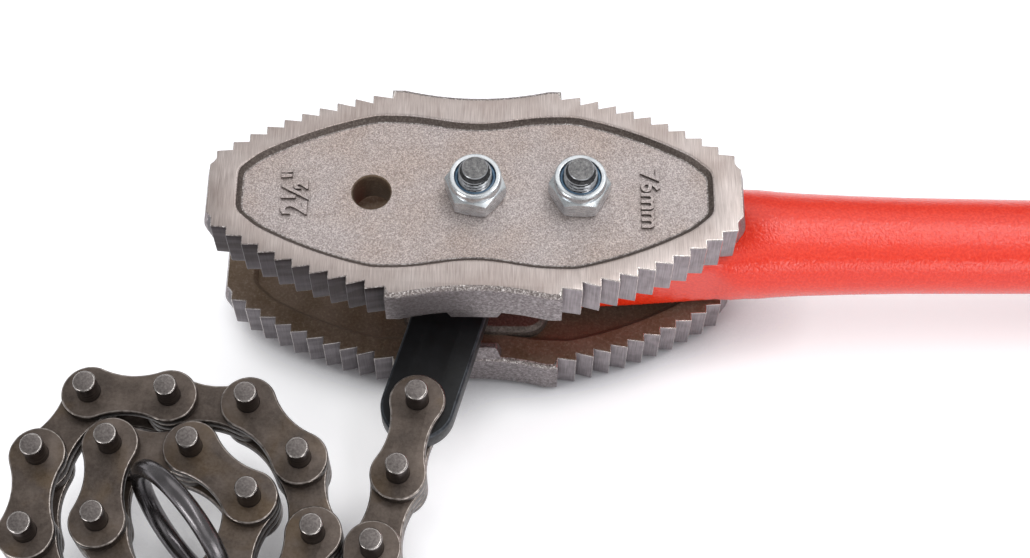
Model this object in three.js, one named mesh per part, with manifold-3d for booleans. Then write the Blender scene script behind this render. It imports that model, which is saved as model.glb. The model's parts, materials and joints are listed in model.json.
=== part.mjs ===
// A heavy double-ended chain wrench for pipe: two toothed jaws bolted on each side of a forged
// handle head, a shackle that swings on the centre bolt, and a riveted leaf chain with a pull ring.
// Millimetres. X runs along the tool towards the handle, Y across it, Z along the bolts, up.
// The origin is the outer face of the centre bolt's head, on the bolt's axis.
import * as THREE from "three";
import { mergeVertices } from "three/addons/utils/BufferGeometryUtils.js";
import Module from "manifold-3d";

// Jaws
const HOLE_SPACING = 25; // three bolt holes in a row
const BOLT_HOLE_RADIUS = 4.6;
const JAW_HALF_LENGTH = 64.2;
const JAW_END_HALF_WIDTH = 7.4;
const JAW_THICKNESS = 12.7;
const JAW_GAP = 26; // between the two inner faces
const JAW_EDGE_BEVEL = 0.8; // on the two end faces
const LUG_HALF_LENGTH = 20.9; // the smooth lug between the toothed arcs
const LUG_HALF_WIDTH = 28.8;
const LUG_FLAT = 3.2; // flat land at each corner of the lug
const LUG_HOLLOW = 2.2; // how far its edge dips in the middle
const TEETH = 10; // on each of the four arcs
const TOOTH_DEPTH = 2.2;
const TOOTH_ARC_RADIUS = 105.7; // through the tooth tips
const TOOTH_ARC_X = 2.5; // the arc's centre, from the middle of the jaw
const TOOTH_ARC_Y = -76.3;
const FIRST_TOOTH_ANGLE = 34.8; // the tooth nearest the end, from the Y direction
const LAST_TOOTH_ANGLE = 12.6;
const RIM_WIDTH = 6; // machined rim, from the tooth tips to the cast recess
const RECESS_HALF_LENGTH = 57.2;
const RECESS_END_HALF_WIDTH = 5;
const RECESS_SHOULDER = 21; // half-width where the recess is widest
const RECESS_WAIST = 18.9; // half-width at its middle
const RECESS_DEPTH = 1.4;
const POCKET_DEPTH = 1.5; // the like recess on the inner face
const BOSS_HALF_LENGTH = 18.5; // raised pad on the inner face, which clamps the head
const BOSS_HALF_WIDTH = 19.8;
const BOSS_CORNER = 6;
const BOSS_HEIGHT = 2;
const HOOK_HALF_LENGTH = 6; // block that catches the chain's pins
const HOOK_HEIGHT = 4.2;
const HOOK_OUTER = 26.5; // its outer and inner face at the foot
const HOOK_INNER = 23.4;

// Bolts, nuts and the fits between pieces
const BOLT_RADIUS = 4;
const BOLT_HEAD_HEIGHT = 5.3;
const HEX_ACROSS_FLATS = 13;
const HEX_ACROSS_CORNERS = 14.8;
const NUT_HEIGHT = 8;
const NUT_HEX_HEIGHT = 6;
const NUT_COLLAR_RADIUS = 6.1;
const INSERT_RADIUS = 5.3;
const STUD_STANDOUT = 3.6; // bolt end above the nut
const SEAT_GAP = 0.3; // between pieces that touch
const NUT_BORE_RADIUS = 4.35;
const NUT_TURN = { centre: -10, rear: 0 }; // degrees, as the two nuts were left when tightened

// Handle
const TOOL_LENGTH = 690;
const HEAD_HALF_THICKNESS = JAW_GAP / 2 - BOSS_HEIGHT - SEAT_GAP;
const HEAD_HALF_WIDTH = 15;
const SLOT_END = 13; // depth of the shackle's slot past the centre bolt
const SHANK_RADIUS = 13.8; // beside the jaws
const GRIP_RADIUS = 11.6;

// Shackle
const SHACKLE_LENGTH = 48.1; // centre bolt to first chain pin
const SHACKLE_HEADING = -106; // degrees from +X
const SHACKLE_HALF_WIDTH = 9;
const SHACKLE_HOLE_RADIUS = 4.45; // about the centre bolt
const SHACKLE_HALF_THICKNESS = 3.05;
const SHACKLE_CHAMFER = 0.5;

// Chain
const PITCH = 19.05;
const PLATE_END_RADIUS = 6.7;
const PLATE_WAIST = 4.75; // half-width at the waist
const OUTER_PLATE = 2.5; // thickness
const INNER_PLATE = 2.9;
const PLATE_GAP = 0.3;
const PIN_RADIUS = 2.7;
const PIN_HALF_LENGTH = 12.2;
const PIN_CHAMFER = 0.6;
const PLATE_HOLE_RADIUS = 3.1; // turns about a pin
const RING_HOLE_RADIUS = 4.3; // in the free end of the last link
// The turn of each link from the piece before it, in degrees: the first strand, then the coil.
const LINK_BENDS = [
  4, -4, -3, -31, -26, -41, -15, -19, -30, -32, -59, -3, -42, -30, -34, -51, -47, -35, -29, -89, -38,
  -65,
];

// Ring
const RING_RADIUS = 16; // to the middle of the wire
const RING_WIRE_RADIUS = 2.25;
const RING_HEADING = 132; // from the last hole to the ring's centre
const RING_LEAN = 8.5; // from upright
const RING_RISE = 4; // of the ring's centre above the chain

// Facets
const PIN_SIDES = 10;
const BOLT_SIDES = 16;
const SECTION_SIDES = 24;
const END_STEPS = 4; // in a quarter of a link's outline
const HOLLOW_STEPS = 1;
const THROUGH = 20; // a cut from here below the middle to here above it goes right through

const wasm = await Module();
wasm.setup();
const radians = THREE.MathUtils.degToRad;

const MID_HEIGHT = JAW_GAP / 2 + JAW_THICKNESS - RECESS_DEPTH + SEAT_GAP + BOLT_HEAD_HEIGHT;

const COLOURS = {
  jaw: { color: 0xa39b94, roughness: 0.45, metalness: 0.85 },
  paint: { color: 0xd8291a, roughness: 0.3, metalness: 0.0 },
  zinc: { color: 0xb9c1c9, roughness: 0.3, metalness: 0.9 },
  nylon: { color: 0x7d93b8, roughness: 0.5, metalness: 0.0 },
  black: { color: 0x17181b, roughness: 0.5, metalness: 0.6 },
  chain: { color: 0x4a413b, roughness: 0.4, metalness: 0.85 },
  ring: { color: 0x3c3c3e, roughness: 0.25, metalness: 0.9 },
};

// Turns a closed geometry into a solid, and a solid back into a geometry.
function solidOf(geometry) {
  const bare = geometry.clone();
  bare.deleteAttribute("normal");
  bare.deleteAttribute("uv");
  const merged = mergeVertices(bare, 1e-4);
  return new wasm.Manifold(
    new wasm.Mesh({
      numProp: 3,
      vertProperties: new Float32Array(merged.attributes.position.array),
      triVerts: new Uint32Array(merged.index.array),
    }),
  );
}

function geometryOf(solid) {
  const mesh = solid.getMesh();
  const geometry = new THREE.BufferGeometry();
  geometry.setAttribute("position", new THREE.BufferAttribute(mesh.vertProperties, 3));
  geometry.setIndex(new THREE.BufferAttribute(mesh.triVerts, 1));
  geometry.computeVertexNormals();
  return geometry;
}

// A closed body through rings of points, each ring with as many points as the next.
function skin(rings) {
  const count = rings[0].length;
  const points = rings.flat();
  const faces = [];
  for (let r = 0; r + 1 < rings.length; r++) {
    for (let i = 0; i < count; i++) {
      const a = r * count + i;
      const b = r * count + ((i + 1) % count);
      faces.push(a, b, b + count, a, b + count, a + count);
    }
  }
  const cap = (ring, offset, flip) => {
    const flat = capPlane(ring);
    for (const [a, b, c] of THREE.ShapeUtils.triangulateShape(flat, [])) {
      faces.push(offset + a, offset + (flip ? c : b), offset + (flip ? b : c));
    }
  };
  cap(rings[0], 0, true);
  cap(rings.at(-1), (rings.length - 1) * count, false);
  const geometry = new THREE.BufferGeometry();
  geometry.setAttribute("position", new THREE.Float32BufferAttribute(points.flatMap((p) => p.toArray()), 3));
  geometry.setIndex(faces);
  return geometry;
}

// A ring's points in its own plane, counter-clockwise as seen from ahead of the skin's direction.
function capPlane(ring) {
  const acrossX = ring.every((p) => Math.abs(p.x - ring[0].x) < 1e-6);
  return ring.map((p) => (acrossX ? new THREE.Vector2(p.y, p.z) : new THREE.Vector2(p.x, p.y)));
}

// A plate: an outline drawn at several heights, drawn in by a chamfer where one is given.
function plate(layers) {
  return solidOf(skin(layers.map(([outline, z]) => outline.map((p) => new THREE.Vector3(p.x, p.y, z)))));
}

// Moves each point of a closed outline inwards along its normal.
function drawnIn(outline, distance) {
  const count = outline.length;
  return outline.map((p, i) => {
    const before = outline[(i + count - 1) % count];
    const after = outline[(i + 1) % count];
    const along = after.clone().sub(before).normalize();
    return new THREE.Vector2(p.x - along.y * distance, p.y + along.x * distance);
  });
}

function circle(radius, sides, x = 0, y = 0) {
  return Array.from({ length: sides }, (_, i) => {
    const angle = (2 * Math.PI * (i + 0.5)) / sides;
    return new THREE.Vector2(x + radius * Math.cos(angle), y + radius * Math.sin(angle));
  });
}

function rod(radius, low, high, sides, x = 0, y = 0, chamfer = 0) {
  const full = circle(radius, sides, x, y);
  if (!chamfer) return plate([[full, low], [full, high]]);
  const small = circle(radius - chamfer, sides, x, y);
  return plate([[small, low], [full, low + chamfer], [full, high - chamfer], [small, high]]);
}

// Repeats a quarter outline, which runs from the +X axis to the +Y axis, round all four quarters.
function mirroredOutline(quarter) {
  const flipped = (sx, sy) => quarter.map((p) => new THREE.Vector2(p.x * sx, p.y * sy));
  const all = [...quarter, ...flipped(-1, 1).reverse(), ...flipped(-1, -1), ...flipped(1, -1).reverse()];
  return all.filter((p, i) => p.distanceTo(all[(i + all.length - 1) % all.length]) > 1e-6);
}

function onToothArc(angle, inset = 0) {
  const radius = TOOTH_ARC_RADIUS - inset;
  const a = radians(angle);
  return new THREE.Vector2(TOOTH_ARC_X + radius * Math.sin(a), TOOTH_ARC_Y + radius * Math.cos(a));
}

// Steps of saw teeth, each steep face turned to the nearer end of the jaw, then the hollow lug.
function jawOutline() {
  const quarter = [
    new THREE.Vector2(JAW_HALF_LENGTH, JAW_END_HALF_WIDTH - JAW_EDGE_BEVEL),
    new THREE.Vector2(JAW_HALF_LENGTH - JAW_EDGE_BEVEL, JAW_END_HALF_WIDTH),
  ];
  for (let i = 0; i < TEETH; i++) {
    const angle = THREE.MathUtils.lerp(FIRST_TOOTH_ANGLE, LAST_TOOTH_ANGLE, i / (TEETH - 1));
    const tip = onToothArc(angle);
    quarter.push(new THREE.Vector2(tip.x, tip.y - TOOTH_DEPTH), tip);
  }
  quarter.push(
    new THREE.Vector2(LUG_HALF_LENGTH, LUG_HALF_WIDTH - TOOTH_DEPTH - 0.4),
    new THREE.Vector2(LUG_HALF_LENGTH, LUG_HALF_WIDTH),
  );
  const hollowHalf = LUG_HALF_LENGTH - LUG_FLAT;
  const steps = 5;
  for (let i = 0; i <= steps; i++) {
    const share = 1 - i / steps;
    const y = LUG_HALF_WIDTH - LUG_HOLLOW * (1 - share * share);
    quarter.push(new THREE.Vector2(hollowHalf * share, y));
  }
  return mirroredOutline(quarter);
}

// The long waisted outline of the cast recess.
function recessOutline() {
  const quarter = [
    new THREE.Vector2(RECESS_HALF_LENGTH, 0),
    new THREE.Vector2(RECESS_HALF_LENGTH, RECESS_END_HALF_WIDTH - 1),
    new THREE.Vector2(RECESS_HALF_LENGTH - 0.6, RECESS_END_HALF_WIDTH + 1.4),
  ];
  for (const angle of [30, 25, 20, 15.5, 12.5]) quarter.push(onToothArc(angle, RIM_WIDTH));
  const steps = 4;
  for (let i = 0; i <= steps; i++) {
    const share = i / steps;
    const y = THREE.MathUtils.lerp(RECESS_SHOULDER, RECESS_WAIST, 0.5 - 0.5 * Math.cos(Math.PI * share));
    quarter.push(new THREE.Vector2(RECESS_SHOULDER * 0.9 * (1 - share), y));
  }
  return mirroredOutline(quarter);
}

function roundedRectangle(halfLength, halfWidth, corner, steps = 3) {
  const quarter = Array.from({ length: steps + 1 }, (_, i) => {
    const angle = (Math.PI / 2) * (i / steps);
    return new THREE.Vector2(
      halfLength - corner + corner * Math.cos(angle),
      halfWidth - corner + corner * Math.sin(angle),
    );
  });
  return mirroredOutline(quarter);
}

// The upper jaw, its inner face at height 0. The lower jaw is the same forging turned over.
function jawSolid() {
  const edge = jawOutline();
  let jaw = plate([[edge, 0], [edge, JAW_THICKNESS]]);
  const recess = recessOutline();
  jaw = jaw.subtract(
    plate([
      [drawnIn(recess, 1.5), JAW_THICKNESS - RECESS_DEPTH],
      [drawnIn(recess, 0.5), JAW_THICKNESS - RECESS_DEPTH * 0.6],
      [recess, JAW_THICKNESS],
      [recess, JAW_THICKNESS + 1],
    ]),
  );
  const pocket = plate([
    [recess, -1],
    [recess, 0],
    [drawnIn(recess, 1.5), POCKET_DEPTH],
  ]);
  const boss = roundedRectangle(BOSS_HALF_LENGTH, BOSS_HALF_WIDTH, BOSS_CORNER);
  const pad = plate([
    [drawnIn(boss, 1.5), -BOSS_HEIGHT],
    [drawnIn(boss, 0.5), -BOSS_HEIGHT * 0.6],
    [boss, 1],
    [boss, POCKET_DEPTH + 1],
  ]);
  jaw = jaw.subtract(pocket).add(pad);
  for (const side of [1, -1]) jaw = jaw.add(hookBlock(side));
  for (const i of [-1, 0, 1]) {
    jaw = jaw.subtract(
      rod(BOLT_HOLE_RADIUS, -BOSS_HEIGHT - 1, JAW_THICKNESS + 1, BOLT_SIDES, i * HOLE_SPACING),
    );
  }
  return jaw;
}

function hookBlock(side) {
  const block = (halfLength, inner, outer) =>
    [[-1, inner], [1, inner], [1, outer], [-1, outer]].map(
      ([x, y]) => new THREE.Vector2(x * halfLength * side, y * side),
    );
  return plate([
    [block(HOOK_HALF_LENGTH - 0.9, HOOK_INNER + 0.8, HOOK_OUTER - 1.1), -HOOK_HEIGHT],
    [block(HOOK_HALF_LENGTH - 0.4, HOOK_INNER + 0.3, HOOK_OUTER - 0.6), -HOOK_HEIGHT + 0.6],
    [block(HOOK_HALF_LENGTH + 0.6, HOOK_INNER, HOOK_OUTER), 0],
    [block(HOOK_HALF_LENGTH + 0.6, HOOK_INNER, HOOK_OUTER), 2],
  ]);
}

// Where the handle's section changes: place along X, half-width, half-thickness and squareness.
function handleStations() {
  const end = TOOL_LENGTH - JAW_HALF_LENGTH;
  const roundEnd = [-14.6, -13, -10, -5.5, 0].map((x) => [
    x,
    Math.sqrt(HEAD_HALF_WIDTH ** 2 - x ** 2) || 0.1,
    HEAD_HALF_THICKNESS,
    9,
  ]);
  return [
    ...roundEnd,
    [14, 14.9, HEAD_HALF_THICKNESS, 9],
    [40, 13.4, HEAD_HALF_THICKNESS, 8],
    [57, 12, HEAD_HALF_THICKNESS, 7],
    [60.5, 12.4, 11.4, 4],
    [64.5, SHANK_RADIUS, 12.6, 2.4],
    [71, SHANK_RADIUS, SHANK_RADIUS, 2],
    [82, 13, 13, 2],
    [108, 12.2, 12.2, 2],
    [150, 11.8, 11.8, 2],
    [230, GRIP_RADIUS, GRIP_RADIUS, 2],
    [end - 5, GRIP_RADIUS, GRIP_RADIUS, 2],
    [end - 1.5, GRIP_RADIUS - 1.2, GRIP_RADIUS - 1.2, 2],
    [end, GRIP_RADIUS - 4, GRIP_RADIUS - 4, 2],
  ];
}

// One section of the handle: a superellipse in the YZ plane.
function handleSection([x, halfWidth, halfThickness, power]) {
  return Array.from({ length: SECTION_SIDES }, (_, i) => {
    const angle = (2 * Math.PI * (i + 0.5)) / SECTION_SIDES;
    const c = Math.cos(angle);
    const s = Math.sin(angle);
    return new THREE.Vector3(
      x,
      halfWidth * Math.sign(c) * Math.abs(c) ** (2 / power),
      halfThickness * Math.sign(s) * Math.abs(s) ** (2 / power),
    );
  });
}

function handleSolid() {
  let handle = solidOf(skin(handleStations().map(handleSection)));
  const slotHalf = SHACKLE_HALF_THICKNESS + SEAT_GAP;
  const slot = roundedRectangle(SLOT_END + 10, HEAD_HALF_WIDTH + 3, 3).map(
    (p) => new THREE.Vector2(p.x - 10, p.y),
  );
  handle = handle.subtract(plate([[slot, -slotHalf], [slot, slotHalf]]));
  for (const x of [0, HOLE_SPACING]) {
    handle = handle.subtract(rod(BOLT_HOLE_RADIUS, -THROUGH, THROUGH, BOLT_SIDES, x));
  }
  return handle;
}

function hexagon(acrossFlats) {
  return Array.from({ length: 6 }, (_, i) => {
    const angle = radians(60 * i);
    const radius = acrossFlats / Math.sqrt(3);
    return new THREE.Vector2(radius * Math.cos(angle), radius * Math.sin(angle));
  });
}

// The turned form that rounds off a hexagon's corners, chamfered above and, if asked, below.
function cornerForm(height, below) {
  const corner = HEX_ACROSS_CORNERS / 2;
  const land = HEX_ACROSS_FLATS / 2 - 0.2;
  const drop = (corner - land) * 0.6;
  const sides = 18;
  const layers = [[circle(corner, sides), height - drop], [circle(land, sides), height]];
  if (below) layers.unshift([circle(land, sides), 0], [circle(corner, sides), drop]);
  else layers.unshift([circle(corner, sides), 0]);
  return plate(layers);
}

// A hexagon bolt, its head below and its chamfered end above the nut.
function boltSolid() {
  const seat = MID_HEIGHT - BOLT_HEAD_HEIGHT;
  const hex = hexagon(HEX_ACROSS_FLATS);
  const head = plate([[hex, 0], [hex, BOLT_HEAD_HEIGHT]])
    .intersect(cornerForm(BOLT_HEAD_HEIGHT, false))
    .scale([1, 1, -1])
    .translate([0, 0, -seat]);
  const top = seat + NUT_HEIGHT + STUD_STANDOUT;
  return head.add(rod(BOLT_RADIUS, -seat - 1, top, BOLT_SIDES, 0, 0, 0.8));
}

function nutSolid() {
  const hex = hexagon(HEX_ACROSS_FLATS);
  const body = plate([[hex, 0], [hex, NUT_HEX_HEIGHT]]).intersect(cornerForm(NUT_HEX_HEIGHT, true));
  const collar = plate([
    [circle(NUT_COLLAR_RADIUS, 20), NUT_HEX_HEIGHT - 1],
    [circle(NUT_COLLAR_RADIUS, 20), NUT_HEIGHT - 0.7],
    [circle(NUT_COLLAR_RADIUS - 0.5, 20), NUT_HEIGHT],
  ]);
  return body
    .add(collar)
    .subtract(rod(NUT_BORE_RADIUS, -1, NUT_HEIGHT + 1, BOLT_SIDES))
    .subtract(rod(INSERT_RADIUS + SEAT_GAP, NUT_HEX_HEIGHT - 0.3, NUT_HEIGHT + 1, BOLT_SIDES));
}

function insertSolid() {
  return rod(INSERT_RADIUS, NUT_HEX_HEIGHT, NUT_HEIGHT - 0.3, BOLT_SIDES).subtract(
    rod(NUT_BORE_RADIUS, 0, NUT_HEIGHT + 1, BOLT_SIDES),
  );
}

// A plate with round ends about two pins, and a hollow in each long side that runs smoothly into them.
function linkOutline() {
  const middle = PITCH / 2;
  const hollowRadius =
    (middle ** 2 + PLATE_WAIST ** 2 - PLATE_END_RADIUS ** 2) / (2 * (PLATE_END_RADIUS - PLATE_WAIST));
  const hollowY = PLATE_WAIST + hollowRadius;
  const sweep = Math.atan2(middle, hollowY);
  const endAngle = Math.PI / 2 + sweep;
  const quarter = [];
  for (let i = 0; i <= END_STEPS; i++) {
    const angle = (endAngle * i) / END_STEPS;
    quarter.push(
      new THREE.Vector2(
        middle + PLATE_END_RADIUS * Math.cos(angle),
        PLATE_END_RADIUS * Math.sin(angle),
      ),
    );
  }
  for (let i = HOLLOW_STEPS - 1; i >= 0; i--) {
    const angle = (sweep * i) / HOLLOW_STEPS;
    quarter.push(
      new THREE.Vector2(hollowRadius * Math.sin(angle), hollowY - hollowRadius * Math.cos(angle)),
    );
  }
  return mirroredOutline(quarter).map((p) => new THREE.Vector2(p.x + middle, p.y));
}

function chamferedPlate(outline, low, high) {
  const small = drawnIn(outline, SHACKLE_CHAMFER);
  return plate([
    [small, low],
    [outline, low + SHACKLE_CHAMFER],
    [outline, high - SHACKLE_CHAMFER],
    [small, high],
  ]);
}

// Two plates riveted to two long pins. The pins' ends stand out and catch behind the hook blocks.
function outerLinkSolid() {
  const low = PLATE_GAP / 2 + INNER_PLATE + PLATE_GAP;
  const high = low + OUTER_PLATE;
  const outline = linkOutline();
  let link = plate([[outline, low], [outline, high]]).add(plate([[outline, -high], [outline, -low]]));
  for (const x of [0, PITCH]) {
    link = link.add(rod(PIN_RADIUS, -PIN_HALF_LENGTH, PIN_HALF_LENGTH, PIN_SIDES, x, 0, PIN_CHAMFER));
  }
  return link;
}

function innerPlateSolid(side, endHoleRadius) {
  const near = PLATE_GAP / 2;
  const far = near + INNER_PLATE;
  const [low, high] = side > 0 ? [near, far] : [-far, -near];
  const outline = linkOutline();
  return plate([[outline, low], [outline, high]])
    .subtract(rod(PLATE_HOLE_RADIUS, -THROUGH, THROUGH, PIN_SIDES))
    .subtract(rod(endHoleRadius, -THROUGH, THROUGH, PIN_SIDES, PITCH));
}

function shackleSolid() {
  const outline = roundedRectangle(
    SHACKLE_LENGTH / 2 + SHACKLE_HALF_WIDTH,
    SHACKLE_HALF_WIDTH,
    SHACKLE_HALF_WIDTH,
    6,
  ).map((p) => new THREE.Vector2(p.x + SHACKLE_LENGTH / 2, p.y));
  return chamferedPlate(outline, -SHACKLE_HALF_THICKNESS, SHACKLE_HALF_THICKNESS)
    .subtract(rod(SHACKLE_HOLE_RADIUS, -THROUGH, THROUGH, BOLT_SIDES))
    .subtract(rod(PLATE_HOLE_RADIUS, -THROUGH, THROUGH, PIN_SIDES, SHACKLE_LENGTH));
}

function named(name, solid, finish, parent, place = {}) {
  const geometry = solid instanceof THREE.BufferGeometry ? solid : geometryOf(solid);
  const mesh = new THREE.Mesh(geometry, new THREE.MeshStandardMaterial(COLOURS[finish]));
  mesh.name = name;
  mesh.position.set(place.x ?? 0, place.y ?? 0, place.z ?? 0);
  parent.add(mesh);
  return mesh;
}

function addHead(tool) {
  const jaw = geometryOf(jawSolid());
  named("jaw_upper", jaw, "jaw", tool, { z: JAW_GAP / 2 });
  const jawDown = named("jaw_lower", jaw.clone(), "jaw", tool, { z: -JAW_GAP / 2 });
  jawDown.rotation.x = Math.PI;
  named("handle", handleSolid(), "paint", tool);
  const seat = MID_HEIGHT - BOLT_HEAD_HEIGHT;
  const places = { centre: 0, rear: HOLE_SPACING };
  for (const [where, x] of Object.entries(places)) {
    named(`bolt_${where}`, boltSolid(), "zinc", tool, { x });
    const nut = named(`lock_nut_${where}`, nutSolid(), "zinc", tool, { x, z: seat });
    nut.rotation.z = radians(NUT_TURN[where]);
    named(`nut_insert_${where}`, insertSolid(), "nylon", tool, { x, z: seat });
  }
}

// The chain is a train of nested groups: each link sits at the end of the one before it, turned.
function addChain(tool) {
  const shackle = new THREE.Group();
  shackle.rotation.z = radians(SHACKLE_HEADING);
  tool.add(shackle);
  named("shackle", shackleSolid(), "black", shackle);
  let before = shackle;
  let reach = SHACKLE_LENGTH;
  LINK_BENDS.forEach((bend, i) => {
    const link = new THREE.Group();
    link.position.x = reach;
    link.rotation.z = radians(bend);
    before.add(link);
    const number = String(i + 1).padStart(2, "0");
    if (i % 2 === 0) {
      named(`outer_link_${number}`, outerLinkSolid(), "chain", link);
    } else {
      const endHole = i === LINK_BENDS.length - 1 ? RING_HOLE_RADIUS : PLATE_HOLE_RADIUS;
      named(`inner_plate_${number}_upper`, innerPlateSolid(1, endHole), "chain", link);
      named(`inner_plate_${number}_lower`, innerPlateSolid(-1, endHole), "chain", link);
    }
    before = link;
    reach = PITCH;
  });
  return before;
}

// The ring stands nearly upright in the coil, through the last link's free hole.
function addRing(tool, lastLink) {
  lastLink.updateWorldMatrix(true, false);
  const hole = lastLink.localToWorld(new THREE.Vector3(PITCH, 0, 0));
  const side = Math.sqrt(RING_RADIUS ** 2 - RING_RISE ** 2);
  const ring = new THREE.Group();
  ring.position.set(
    hole.x + side * Math.cos(radians(RING_HEADING)),
    hole.y + side * Math.sin(radians(RING_HEADING)),
    RING_RISE,
  );
  ring.rotation.z = radians(RING_HEADING);
  tool.add(ring);
  const torus = new THREE.TorusGeometry(RING_RADIUS, RING_WIRE_RADIUS, 8, 24);
  const mesh = named("pull_ring", geometryOf(solidOf(torus)), "ring", ring);
  mesh.rotation.x = radians(90 + RING_LEAN);
}

const tool = new THREE.Group();
addHead(tool);
addRing(tool, addChain(tool));
tool.position.z = MID_HEIGHT;

const wrench = new THREE.Group();
wrench.add(tool);
export default wrench;
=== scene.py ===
import json
import math

import bpy
from mathutils import Matrix, Vector
from mathutils.geometry import tessellate_polygon


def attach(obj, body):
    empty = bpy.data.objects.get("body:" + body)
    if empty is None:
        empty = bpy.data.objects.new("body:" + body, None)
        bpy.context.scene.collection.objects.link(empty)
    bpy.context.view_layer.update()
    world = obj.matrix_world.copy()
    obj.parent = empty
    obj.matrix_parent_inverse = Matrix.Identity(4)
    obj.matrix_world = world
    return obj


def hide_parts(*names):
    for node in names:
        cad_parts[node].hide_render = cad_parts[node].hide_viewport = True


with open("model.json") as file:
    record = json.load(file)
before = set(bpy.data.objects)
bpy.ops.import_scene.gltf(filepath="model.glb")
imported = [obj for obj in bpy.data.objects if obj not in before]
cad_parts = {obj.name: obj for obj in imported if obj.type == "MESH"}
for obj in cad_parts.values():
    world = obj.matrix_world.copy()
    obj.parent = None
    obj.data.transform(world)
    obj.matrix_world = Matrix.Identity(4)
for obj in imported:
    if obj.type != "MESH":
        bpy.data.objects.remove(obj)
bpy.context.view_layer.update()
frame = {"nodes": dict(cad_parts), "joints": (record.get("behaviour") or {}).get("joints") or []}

MM = 0.001
NEAR = 0.01  # points closer than this along one axis count as one place
ROUND_SIDES = 40  # sides of the holes and pins
PINS = {joint["name"]: Vector(joint["pos_m"]) / MM for joint in frame["joints"]}
MIDDLE = PINS["shackle_pivot"].z

# Jaws
HOLE_SPACING = 25
BOLT_HOLE_RADIUS = 4.6
JAW_HALF_LENGTH = 64.2
JAW_END_HALF_WIDTH = 7.4
JAW_THICKNESS = 12.7
JAW_GAP = 26
JAW_END_BEVEL = 0.8
LUG_HALF_LENGTH = 20.9
LUG_HALF_WIDTH = 28.8
LUG_FLAT = 3.2
LUG_HOLLOW = 2.2
LUG_SIDE_HEIGHT = 2.6
ON_LUG_DEPTH = 2.5  # points of the outline within this of a lug's top are on the lug
TEETH = 10
TOOTH_DEPTH = 2.2
TOOTH_ARC_RADIUS = 105.7
TOOTH_ARC_X = 2.5
TOOTH_ARC_Y = -76.3
FIRST_TOOTH_ANGLE = 34.8
LAST_TOOTH_ANGLE = 12.6
RIM_WIDTH = 6
RECESS_HALF_LENGTH = 57.2
RECESS_CORNER_Y = 4.6
RECESS_CORNER = 2.6
RECESS_CORNER_SWEEP = 62  # degrees
RECESS_ARC_START = 30  # degrees along the teeth's arc, which its long sides follow
RECESS_ARC_END = 12.5
RECESS_SHOULDER = 21
RECESS_SHOULDER_REACH = 0.9  # where the waist starts along X, as a share of the shoulder's half-width
RECESS_WAIST = 18.9
RECESS_SOFTNESS = 1.3  # how far its corners are rounded to each side
RECESS_DEPTH = 1.4
POCKET_DEPTH = 1.5
BOSS_HALF_LENGTH = 18.5
BOSS_HALF_WIDTH = 19.8
BOSS_CORNER = 6
BOSS_HEIGHT = 2
HOLE_CHAMFER = 0.3
HOOK_HALF_LENGTH = 6
HOOK_HEIGHT = 4.2
HOOK_OUTER = 26.5
HOOK_INNER = 23.4
THROUGH = 20  # a cut from here below to here above goes right through
JAW_EDGE = 0.22  # the small worn bevel along the outline
LUG_EDGE = 1.0  # the cast rounding along the lugs
TIP_WEAR = 0.16  # the burnished flat on each tooth's tip
END_BULGE = 1.1  # the rough forging beyond the machined rim at each end
END_STRIP = 1  # points this near the end are on the part that bulges

# The pipe sizes cast into each jaw: name, text, length, height, place and turn in degrees
FIGURES = [
    ("inch", '2½"', 12.6, 7.0, (-43.4, -0.4), 90),
    ("mm", "76mm", 16.2, 4.8, (42.1, -1.4), -90),
]
FIGURE_RELIEF = 0.8
FIGURE_SINK = 0.05  # how deep their backs sit in the recess's floor
FIGURE_TOP_NORMAL = 0.8  # faces whose normal has at least this much Z are their flat tops

# Fasteners
BOLT_RADIUS = 4
BOLT_HEAD_HEIGHT = 5.3
HEX_ACROSS_FLATS = 13
NUT_HEIGHT = 8
NUT_HEX_HEIGHT = 5.4
NUT_COLLAR_RADIUS = 6.3
NUT_BORE_RADIUS = 4.15
INSERT_RADIUS = 5.3
STUD_STANDOUT = 3.6
STUD_TIP_RADIUS = 3.1
STUD_NECK = 1.15  # height of the bare tip above the threads
STUD_RIM = 0.16
STUD_TAPER = 1.4  # how fast the stud widens below its neck
STUD_SIDES = 72
THREAD_PITCH = 1.25
THREAD_DEPTH = 0.78
THREAD_STEEPNESS = 1.6
THREAD_ROOT_FLAT = 0.4
THREAD_STEP = 0.08  # height of one ring of the thread's mesh
DARK_ROOT_SHARE = 0.6  # the thread is dark from this share of its depth down
UNDARKENED_TIP = 0.3  # not darkened this near the tip
BOLT_HEAD_LAND = 0.2  # how far the head's round face lies inside its flats
NUT_LAND = 0.15
NUT_LIP_RADIUS = 4.85
NUT_TURN = {"centre": -10, "rear": 0}
HEX_CHAMFER_SLOPE = 0.6
SEAT_RISE = 0.3  # the nuts sit this far above the recess's floor
SEAT = MIDDLE + JAW_GAP / 2 + JAW_THICKNESS - RECESS_DEPTH + SEAT_RISE

# Handle
HANDLE_END = 625.8
HEAD_HALF_THICKNESS = 10.7
HEAD_HALF_WIDTH = 15
SLOT_END = 13
SLOT_HALF_HEIGHT = 3.35
SLOT_BACK = 10  # how far beyond the centre bolt the slot's cutting block has its middle
SLOT_CORNER = 3
HANDLE_END_ROUNDING = 4
SHANK_RADIUS = 13.8
GRIP_RADIUS = 11.6
HANDLE_SIDES = 64

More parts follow.
